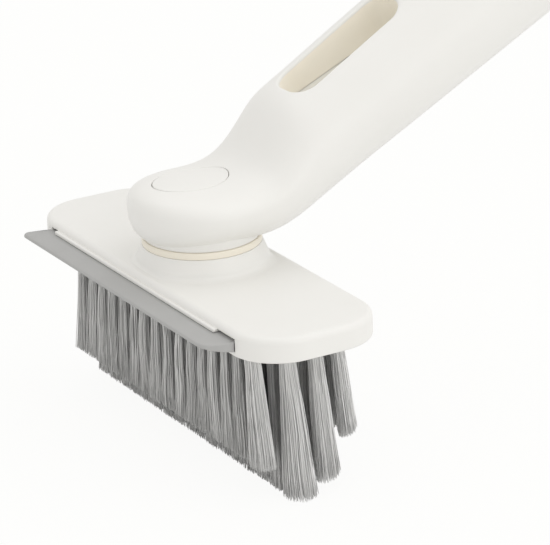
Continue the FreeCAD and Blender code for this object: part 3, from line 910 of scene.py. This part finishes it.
def turned(name, profile, finish, body, slot, nodes):
    """Closed outline of (radius, height) points turned about the swivel axis."""
    turns = full_turn(TURN_POINTS)
    radius, height = np.array(profile).T
    points = np.stack([radius[:, None] * np.cos(turns), radius[:, None] * np.sin(turns),
                       np.broadcast_to(height[:, None], (len(profile), len(turns)))], -1)
    grid_piece(name, np.concatenate([points, points[:1]]), finish, body, slot, nodes)


def rounded_corner(radius, height, size, start):
    """Quarter round of a profile's corner, from an angle on."""
    turn = start + quarter_turn(ROUND_POINTS)
    outward = np.array([math.cos(start) + math.cos(start + math.pi / 2),
                        math.sin(start) + math.sin(start + math.pi / 2)])
    centre = np.array([radius, height]) - size * np.round(outward)
    return list(centre + size * np.stack([np.cos(turn), np.sin(turn)], 1))


def swivel_ring():
    """Bearing ring: a spigot in the collar and a wider flange over its rim, with soft edges."""
    rim = HEAD_TOP + COLLAR_HEIGHT + STEP
    inner, flange, top = RING_INNER_RADIUS, ring_high[0], ring_high[2]
    profile = [(inner, ring_low[2]), (RING_SPIGOT_RADIUS, ring_low[2]), (RING_SPIGOT_RADIUS, rim)]
    profile += rounded_corner(flange, rim, RING_EDGE, -math.pi / 2)
    profile += rounded_corner(flange, top, RING_EDGE, 0) + [(inner, top)]
    turned("bearing_ring", profile, cream_plastic, "head", "cream_plastic", ["swivel_ring"])


def knob_skirt():
    """Round skirt under the knob that meets the bearing ring."""
    low, inner = KNOB_FLOOR + STEP, RING_INNER_RADIUS
    profile = [(inner, low)] + rounded_corner(SKIRT_RADIUS, low, SKIRT_EDGE, -math.pi / 2)
    profile += [(SKIRT_RADIUS, low + SKIRT_HEIGHT), (inner, low + SKIRT_HEIGHT)]
    turned("knob_skirt", profile, white_plastic, "handle", "white_plastic", ["handle_shell"])


BLADE_LIP = 1.1
BLADE_LIP_ROUND = 0.45
BLADE_ROUND = 8.0
BLADE_TIP_RUN = 4.4
BLADE_TIP_ROUND = 1.2
BLADE_END_GAP = 0.25
BLADE_RUN_POINTS = 30
BLADE_SLOPE_POINTS = 8
BLADE_EDGE_POINTS = 5
BLADE_FACE_SHARES = (1.0, 0.75, 0.5, 0.25)
BLADE_SHARP = 50.0
STRIP_SECTION_POINTS = 29
STRIP_RUN_POINTS = 40
STRIP_POWER = 7.0
STRIP_BEVEL = 0.4
STRIP_END_WIDTH = 0.8


def blade_outline():
    """Plan of the scraper from its root's near end round to its root's far end."""
    root, side, edge = -HEAD_HALF_WIDTH + NOTCH_DEPTH, -HEAD_HALF_WIDTH, blade_low[0]
    near, far = NOTCH_LOW + BLADE_END_GAP, NOTCH_HIGH - BLADE_END_GAP
    tip = far + BLADE_TIP_RUN
    turn = quarter_turn(CORNER_POINTS)
    arc = np.stack([edge + BLADE_ROUND * (1 - np.sin(turn)), near + BLADE_ROUND * (1 - np.cos(turn))], 1)
    nib = np.stack([edge + BLADE_TIP_ROUND * (1 - np.cos(turn)),
                    tip - BLADE_TIP_ROUND * (1 - np.sin(turn))], 1)
    run = np.linspace(near + BLADE_ROUND, tip - BLADE_TIP_ROUND, BLADE_RUN_POINTS)[1:-1]
    long_edge = np.stack([np.full(len(run), edge), run], 1)
    slope = np.linspace(0, 1, BLADE_SLOPE_POINTS)[1:, None]
    back = nib[-1] + slope * (np.array([side - BLADE_END_GAP, far]) - nib[-1])
    return np.vstack([[[root, near], [side, near]], arc, long_edge, nib, back, [[root, far]]])


def scraper_blade():
    """Scraper: a wedge that thins towards its edge, cut to its plan, with softly rounded edges."""
    outline = blade_outline()
    side, edge = -HEAD_HALF_WIDTH, blade_low[0]
    root = -HEAD_HALF_WIDTH + NOTCH_DEPTH
    low, high = blade_low[2], blade_high[2]
    middle = (low + high) / 2
    along = np.clip(outline[:, 1], NOTCH_LOW + BLADE_END_GAP, NOTCH_HIGH - BLADE_END_GAP)
    inward = np.column_stack([np.full(len(outline), root), along]) - outline
    length = np.linalg.norm(inward, axis=1, keepdims=True)
    inward = inward / np.maximum(length, TINY)
    inset = np.minimum(BLADE_LIP_ROUND, length)
    profile = [(inset + (length - inset) * share, 0.0) for share in BLADE_FACE_SHARES]
    for turn in quarter_turn(BLADE_EDGE_POINTS):
        profile.append((inset * (1 - math.sin(turn)), BLADE_LIP_ROUND * (1 - math.cos(turn))))
    rings = []
    for sign, steps in ((1, profile), (-1, profile[::-1])):
        for reach, drop in steps:
            flat = outline + inward * reach
            share = np.clip((side - flat[:, 0]) / (side - edge), 0, 1)
            half = (high - low) / 2 + share * (BLADE_LIP - (high - low)) / 2
            rings.append(np.column_stack([flat, middle + sign * (half - drop)]))
    grid_piece("scraper_strip", np.array(rings + rings[:1]), grey_rubber, "head", "grey_rubber",
               ["scraper_blade"], closed=False, sharp=BLADE_SHARP)


def blade_retainer():
    """Retaining strip: a rounded oblong section carried along the plate, closed round at its ends."""
    middle, half = (strip_low + strip_high) / 2, (strip_high - strip_low) / 2
    angles = full_turn(STRIP_SECTION_POINTS)
    across = half[0] * signed_power(np.cos(angles), 2 / STRIP_POWER)
    rise = half[2] * signed_power(np.sin(angles), 2 / STRIP_POWER)
    end = quarter_turn(EDGE_POINTS)
    inset = STRIP_BEVEL * (1 - np.cos(end))
    near, far = strip_low[1], strip_high[1]
    run = np.linspace(near + STRIP_BEVEL, far - STRIP_BEVEL, STRIP_RUN_POINTS)[1:-1]
    along = np.concatenate([near + inset, run, far - inset[::-1]])[:, None]
    squeeze = np.concatenate([np.sin(end), np.ones(len(run)), np.sin(end[::-1])])[:, None]
    x = middle[0] + across * (STRIP_END_WIDTH + (1 - STRIP_END_WIDTH) * squeeze)
    z = middle[2] + rise * squeeze
    points = np.stack([x, np.broadcast_to(along, x.shape), z], -1)
    grid_piece("retaining_strip", points, white_plastic, "head", "white_plastic", ["blade_retainer"])


# Bristles

def smooth_step(value, low, high):
    """Soft rise from 0 to 1 between two values."""
    share = np.clip((value - low) / (high - low), 0, 1)
    return share * share * (3 - 2 * share)


def tuft_spots(count, chance):
    """Bristles' places in each tuft: a sunflower pattern in a unit circle, and the same in a square."""
    number = np.arange(BRISTLES)
    golden = number * math.pi * (3 - math.sqrt(5))
    disc = np.sqrt((number + 0.5) / BRISTLES)[:, None] * np.stack([np.cos(golden), np.sin(golden)], 1)
    twist = chance.uniform(0, 2 * math.pi, count)
    cosine, sine = np.cos(twist), np.sin(twist)
    turn = np.stack([cosine, -sine, sine, cosine], 1).reshape(count, 2, 2)
    spot = np.einsum("kab,nb->kna", turn, disc)
    reach = np.abs(spot).max(-1, keepdims=True)
    return spot, spot * np.linalg.norm(spot, axis=-1, keepdims=True) / np.maximum(reach, TINY)


def bristle_row(row, seed, shaded, end_half, end_lean, end_slope, end_drop):
    """A row of tufts: each bristle is a thin bowed prism from its hole to its place in a spread tip.

    A tuft keeps its width near the head and opens to an oblong tip.  The tuft at the near end is a round fan
    that opens and leans by its own amounts, and its trimmed face rises away from the scraper by a slope.
    Painted shade darkens bristles beside the next tuft, and rows inside the brush, near their roots; painted
    light brightens the inner rows' tips and the tuft at the near end.
    """
    node = "tufts_" + row
    low, high = node_box(node)
    chance = np.random.default_rng(seed)
    span = (high[1] - low[1] - 2 * TUFT_TIP) / (1 + TUFT_LEAN)
    count = int(round(span / TUFT_PITCH)) + 1
    centres = (np.arange(count) - (count - 1) / 2) * TUFT_PITCH
    centres = np.where(centres > 0, centres * TUFT_FAR_PULL, centres)
    at_end = (np.arange(count) == 0)[:, None, None]
    spot, square = tuft_spots(count, chance)
    root = spot * np.where(at_end, END_ROOT_RADIUS, TUFT_ROOT_RADIUS)
    tip = np.where(at_end, spot * np.array(end_half) + np.array(end_lean), square * TUFT_TIP_HALF)
    tip[..., 1] += (centres * TUFT_LEAN)[:, None]
    tip += chance.normal(0, TIP_JITTER, spot.shape) + chance.normal(0, TIP_SWAY, (count, 1, 2)) * ~at_end
    bow = chance.normal(0, BOW, spot.shape) + chance.normal(0, TUFT_SWAY, (count, 1, 2)) * ~at_end
    wave = chance.normal(0, BOW, spot.shape) + chance.normal(0, TUFT_SWAY / 2, (count, 1, 2)) * ~at_end
    trim = OUTER_DROP * (1 - shaded) + chance.uniform(-LENGTH_JITTER, 0, spot.shape[:2])
    trim += at_end[..., 0] * (end_drop - end_slope * end_half[0] * (spot[..., 0] + 1))
    share = np.linspace(0, 1, BRISTLE_RINGS)
    opening = share[:, None] ** np.where(at_end, END_EASE, TUFT_EASE)[..., None]
    flat = (root[:, :, None] + (tip - root)[:, :, None] * opening
            + bow[:, :, None] * np.sin(math.pi * share)[:, None]
            + wave[:, :, None] * np.sin(WAVES * math.pi * share)[:, None])
    flat += np.stack([np.full(count, (low[0] + high[0]) / 2), centres], 1)[:, None, None]
    depth = TUFT_ROOT_DEPTH + HEAD_BOTTOM - low[2] + trim
    height = HEAD_BOTTOM + TUFT_ROOT_DEPTH - depth[:, :, None] * share
    around = np.arange(BRISTLE_SIDES) * 2 * math.pi / BRISTLE_SIDES
    spin = around + chance.uniform(0, 2 * math.pi, spot.shape[:2])[:, :, None, None]
    thin = BRISTLE_RADIUS * (1 - TAPER * share ** TAPER_POWER)[:, None]
    px = flat[..., 0][..., None] + thin * np.cos(spin)
    py = flat[..., 1][..., None] + thin * np.sin(spin)
    pz = np.broadcast_to(height[..., None], px.shape)
    points = np.stack([px, py, pz], -1)
    bristles = count * BRISTLES
    per = BRISTLE_RINGS * BRISTLE_SIDES
    first = per * np.arange(bristles)[:, None, None]
    faces = (grid_quads(BRISTLE_RINGS, BRISTLE_SIDES, True)[None] + first).reshape(-1, 4)
    ends = per - BRISTLE_SIDES + np.arange(BRISTLE_SIDES) + first[:, 0]
    # Each bristle's tint: its own random tint, raised over the near-end tuft as painted light.
    own = TINT_MEAN + chance.uniform(-TINT_SPREAD, TINT_SPREAD, spot.shape[:2])
    own = own + chance.normal(0, TUFT_TINT, (count, 1)) + PAINTED_END_LIGHT * at_end[..., 0]
    open_side = at_end[..., 0] & (spot[..., 1] < 0)
    # Mask for painted shade on bristles beside the next tuft, except on the near-end tuft's open side.
    beside = smooth_step(np.abs(spot[..., 1]), *PAINTED_SIDE_SHADE_RANGE) * ~open_side
    # Weight of painted shade for the inner rows: half on their second tuft, none on the near-end tuft.
    inside = (shaded * np.minimum(np.arange(count) * SECOND_SHADE, 1))[:, None, None]
    # Painted shade beside the next tuft and at the inner rows' roots, less painted light at the inner rows'
    # tips.
    painted_shade_and_light = (SIDE_SHADE * beside[..., None] * (1 - share) ** PAINTED_SIDE_SHADE_FADE
            + ROW_SHADE * inside * (1 - share) ** PAINTED_ROW_SHADE_FADE
            - PAINTED_TIP_LIGHT * inside * smooth_step(share, *PAINTED_TIP_LIGHT_RANGE))
    values = np.broadcast_to((own[..., None] - painted_shade_and_light)[..., None], px.shape).clip(0, 1).ravel()
    mesh_piece("bristles_" + row, points.reshape(-1, 3), faces.tolist() + ends.tolist(), grey_bristle,
               "head", "grey_bristle", [node], ALL_SMOOTH, values)


# Stage, light and camera

FLOOR_HALF = 4.0
FLOOR_WHITE = 0.93
SKY_STRENGTH = 0.82


def stage_floor():
    """Pale floor that shows white to the camera and keeps a faint shadow."""
    finish = Finish(bpy.data.materials.new("floor"))
    seen = (finish.ray("Camera") + finish.ray("Glossy") + finish.ray("Transmission")) * FLOOR_WHITE
    matte = finish.node("ShaderNodeBsdfDiffuse", {}, {"Color": (0.9, 0.9, 0.89, 1)})
    white = finish.node("ShaderNodeEmission", {}, {"Color": (1, 1, 0.99, 1), "Strength": 1.0})
    mixed = finish.node("ShaderNodeMixShader", {}, {0: seen, 1: matte, 2: white})
    finish.node("ShaderNodeOutputMaterial", {}, {"Surface": mixed})
    corners = FLOOR_HALF * np.array([(-1, -1, 0), (1, -1, 0), (1, 1, 0), (-1, 1, 0)])
    mesh = bpy.data.meshes.new("floor")
    mesh.from_pydata(corners.tolist(), [], [(0, 1, 2, 3)])
    mesh.materials.append(finish.owner)
    floor = new_object("floor", mesh)


def sky():
    """Even white surroundings, pure white where the camera sees them."""
    world = bpy.data.worlds.new("studio")
    bpy.context.scene.world = world
    studio = Finish(world)
    seen = studio.ray("Camera")
    light = studio.node("ShaderNodeBackground", {}, {"Color": (1.0, 0.99, 0.97, 1), "Strength": SKY_STRENGTH})
    white = studio.node("ShaderNodeBackground", {}, {"Color": (1.0, 1.0, 0.99, 1)})
    mixed = studio.node("ShaderNodeMixShader", {}, {0: seen, 1: light, 2: white})
    studio.node("ShaderNodeOutputWorld", {}, {"Surface": mixed})


def lamp(name, place, aim, size, power):
    """Soft square lamp that points at a place."""
    data = bpy.data.lights.new(name, "AREA")
    data.size = size
    data.energy = power
    lamp_object = new_object(name, data)
    lamp_object.location = place
    direction = np.array(aim) - np.array(place)
    lamp_object.rotation_euler = Vector(direction).to_track_quat("-Z", "Y").to_euler()


VIEW_TURN = math.radians(-28.2)
VIEW_RISE = math.radians(20.36)
VIEW_ROLL = math.radians(-2.5)
PIXELS_PER_MM = 3.695
FOCAL_PIXELS = 3500.0
PLATE_PIXEL = (202.85, 258.3)
IMAGE_SIZE = (550.0, 545.0)
SENSOR_WIDTH = 36.0
CLIP_START = 0.01


def studio_camera():
    """Camera at the photograph's angle, aimed so that the plate's top falls on its pixel."""
    back = np.array([math.sin(VIEW_TURN) * math.cos(VIEW_RISE), -math.cos(VIEW_TURN) * math.cos(VIEW_RISE),
                     math.sin(VIEW_RISE)])
    level = np.array([math.cos(VIEW_TURN), math.sin(VIEW_TURN), 0.0])
    rise = np.cross(back, level)
    right = math.cos(VIEW_ROLL) * level + math.sin(VIEW_ROLL) * rise
    up = -math.sin(VIEW_ROLL) * level + math.cos(VIEW_ROLL) * rise
    eye = np.array([0, 0, HEAD_TOP]) + back * FOCAL_PIXELS / PIXELS_PER_MM
    sideways = (IMAGE_SIZE[0] / 2 - PLATE_PIXEL[0]) / FOCAL_PIXELS
    downward = (IMAGE_SIZE[1] / 2 - PLATE_PIXEL[1]) / FOCAL_PIXELS
    ahead = -back + sideways * right - downward * up
    ahead = ahead / np.linalg.norm(ahead)
    side = np.cross(ahead, up)
    side = side / np.linalg.norm(side)
    top = np.cross(side, ahead)
    data = bpy.data.cameras.new("camera")
    data.sensor_width = SENSOR_WIDTH
    data.lens = FOCAL_PIXELS * SENSOR_WIDTH / IMAGE_SIZE[0]
    data.clip_start = CLIP_START
    camera = new_object("camera", data)
    rows = np.column_stack([side, top, -ahead, eye * MM]).tolist()
    camera.matrix_world = Matrix(rows + [(0, 0, 0, 1)])
    bpy.context.scene.camera = camera


def dress_nodes():
    """Finishes for the CAD nodes that stay."""
    finishes = {"tuft_block": block_plastic, "block_screws": steel, "tuft_staples": brass,
                "post_insert": brass, "pivot_bush": cream_plastic, "thrust_washer": steel,
                "spring_washer": steel, "pivot_screw": steel, "cover_screws": steel}
    for node, finish in finishes.items():
        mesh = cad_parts[node].data
        mesh.materials.clear()
        mesh.materials.append(finish)


studio_camera()
sky()
stage_floor()
lamp("key", place=(0.7, -0.5, 1.2), aim=(0.02, 0, 0.06), size=1.4, power=3.4)
lamp("front", place=(0.2, -1.1, 0.2), aim=(0.0, 0, 0.04), size=0.8, power=1.7)
lamp("top", place=(-0.1, 0.4, 1.3), aim=(0.0, 0, 0.05), size=1.0, power=1.9)
dress_nodes()
head_plate()
swivel_ring()
knob_skirt()
scraper_blade()
blade_retainer()
slot_lining(handle_shell())
handle_cover()
screw_cap()
bristle_row("left_outer", seed=3, shaded=0.0,
            end_half=(3.0, 5.0), end_lean=(0.2, -1.3), end_slope=0.05, end_drop=0.5)
bristle_row("left_inner", seed=4, shaded=1.0,
            end_half=(4.4, 5.2), end_lean=(0.9, -1.6), end_slope=0.06, end_drop=0.0)
bristle_row("right_inner", seed=5, shaded=1.0,
            end_half=(3.2, 4.0), end_lean=(1.1, -1.4), end_slope=0.5, end_drop=1.6)
bristle_row("right_outer", seed=6, shaded=0.0,
            end_half=(2.4, 3.0), end_lean=(1.2, -1.2), end_slope=0.6, end_drop=0.7)

scene_view = bpy.context.scene.view_settings
scene_view.view_transform = "Standard"
